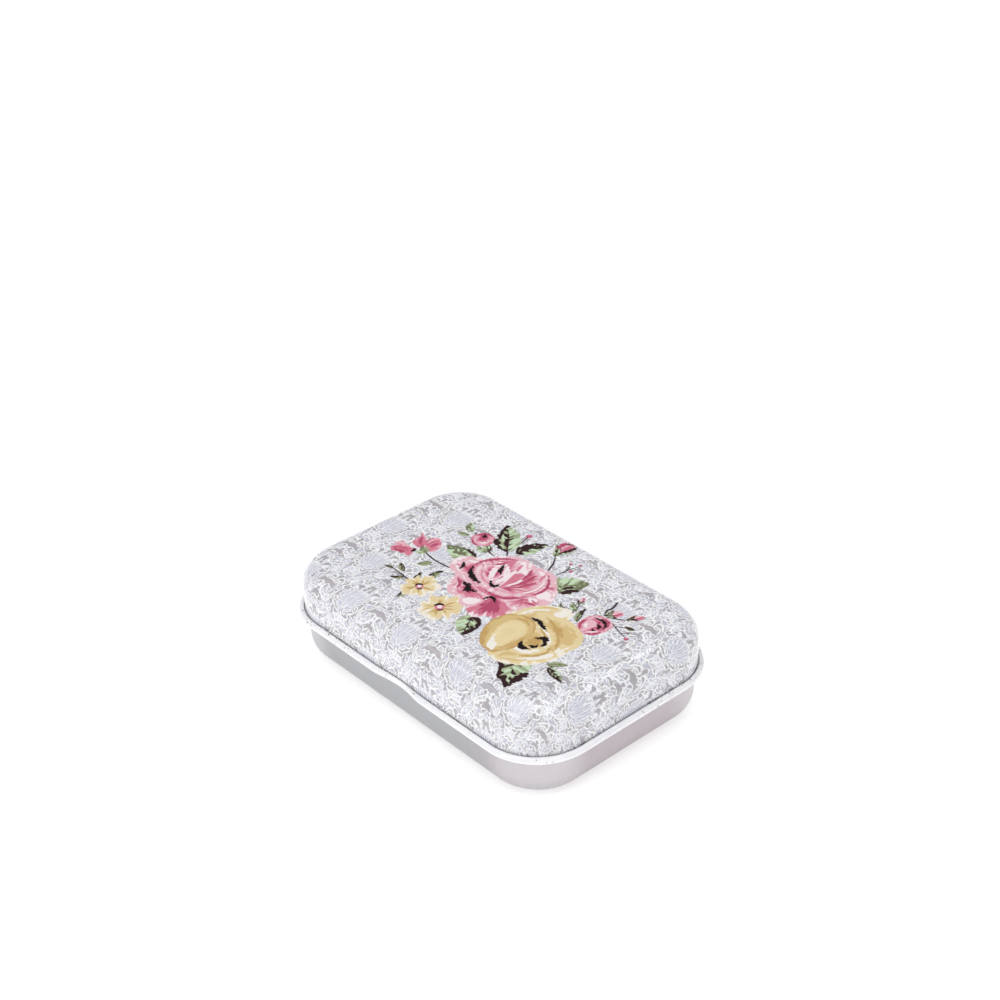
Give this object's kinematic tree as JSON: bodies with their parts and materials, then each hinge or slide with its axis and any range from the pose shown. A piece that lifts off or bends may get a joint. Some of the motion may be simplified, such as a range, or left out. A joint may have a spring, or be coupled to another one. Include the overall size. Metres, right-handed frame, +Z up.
{
  "type": "hinged pocket tin",
  "caption": "Flat rectangular hinged tin with rounded corners, a printed floral lid with a curled white bead and thumb notch, and a plain tinplate base.",
  "frame": {"origin": "middle of the face the tin stands on", "axes": "+Z up, +X along the long side, +Y towards the hinge, -Y towards the thumb notch"},
  "size_m": [0.095, 0.063, 0.025],
  "materials": {
    "lid_lacquer": "gloss",
    "tinplate": "satin",
    "steel_wire": "satin"
  },
  "bodies": {
    "base": {"base": "tinplate", "hinge_wire": "steel_wire"},
    "lid": {"lid": "lid_lacquer"}
  },
  "joints": [
    {"name": "lid_hinge", "type": "hinge", "parent": "base", "child": "lid", "pos_m": [0, 0.03065, 0.0125], "axis": [-1, 0, 0], "range_deg": [0, 110]}
  ]
}
